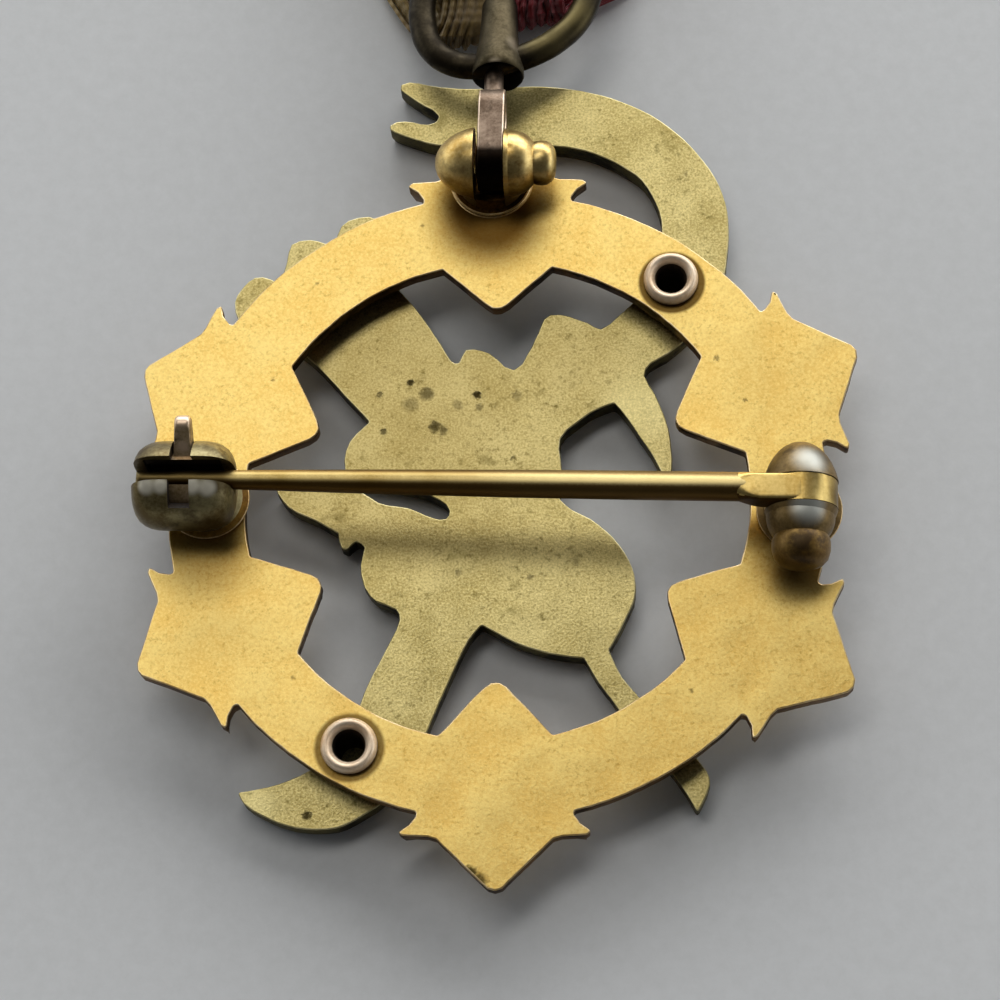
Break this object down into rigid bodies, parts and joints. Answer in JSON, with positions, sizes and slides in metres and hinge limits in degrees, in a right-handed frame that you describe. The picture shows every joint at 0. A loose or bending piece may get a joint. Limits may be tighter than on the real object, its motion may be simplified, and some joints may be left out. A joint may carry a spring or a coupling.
{
  "type": "membership medal",
  "caption": "Medal lying on its face: lobed ring over a cut-out heraldic beast, with a hinged pin, a turning safety catch, a wire swivel bow and a gathered two-colour ribbon.",
  "frame": {"origin": "centre of the ring, on the front face of the figure, which is the face that the medal lies on", "axes": "+Y from the ring's centre towards the ribbon, +Z out of the medal's back, +X to the right when the back is seen with the ribbon at the top"},
  "size_m": [0.0302, 0.0666, 0.0064],
  "materials": {
    "ring_gold": "satin gilt, worn",
    "figure_gold": "matt olive gilt with fine grain",
    "rivet_metal": "pale copper, worn",
    "fitting_metal": "tarnished plating",
    "knob_metal": "dull brass",
    "pin_brass": "drawn brass",
    "sleeve_metal": "tarnished brass",
    "loop_metal": "brown tarnish",
    "bow_metal": "dark tarnish with bright wear",
    "ribbon_silk": "woven silk, half gold and half red"
  },
  "bodies": {
    "medal": {"ring_plate": "ring_gold", "figure_plate": "figure_gold", "rivet_upper": "rivet_metal", "rivet_lower": "rivet_metal", "hinge_ball": "fitting_metal", "hinge_rivet": "knob_metal", "catch_housing": "fitting_metal", "bail_rivet": "ring_gold", "swivel_loop": "loop_metal", "swivel_bow": "bow_metal", "ribbon": "ribbon_silk"},
    "pin": {"pin_stem": "pin_brass"},
    "catch_sleeve": {"catch_rotor": "sleeve_metal"}
  },
  "joints": [
    {"name": "pin_hinge", "type": "hinge", "parent": "medal", "child": "pin", "pos_m": [0.01256, -0.00069, 0.0046], "axis": [0, 1, 0], "range_deg": [0, 95]},
    {"name": "catch_turn", "type": "hinge", "parent": "medal", "child": "catch_sleeve", "pos_m": [-0.0128, -0.0002, 0.0046], "axis": [1, 0, 0], "range_deg": [0, 90]}
  ]
}
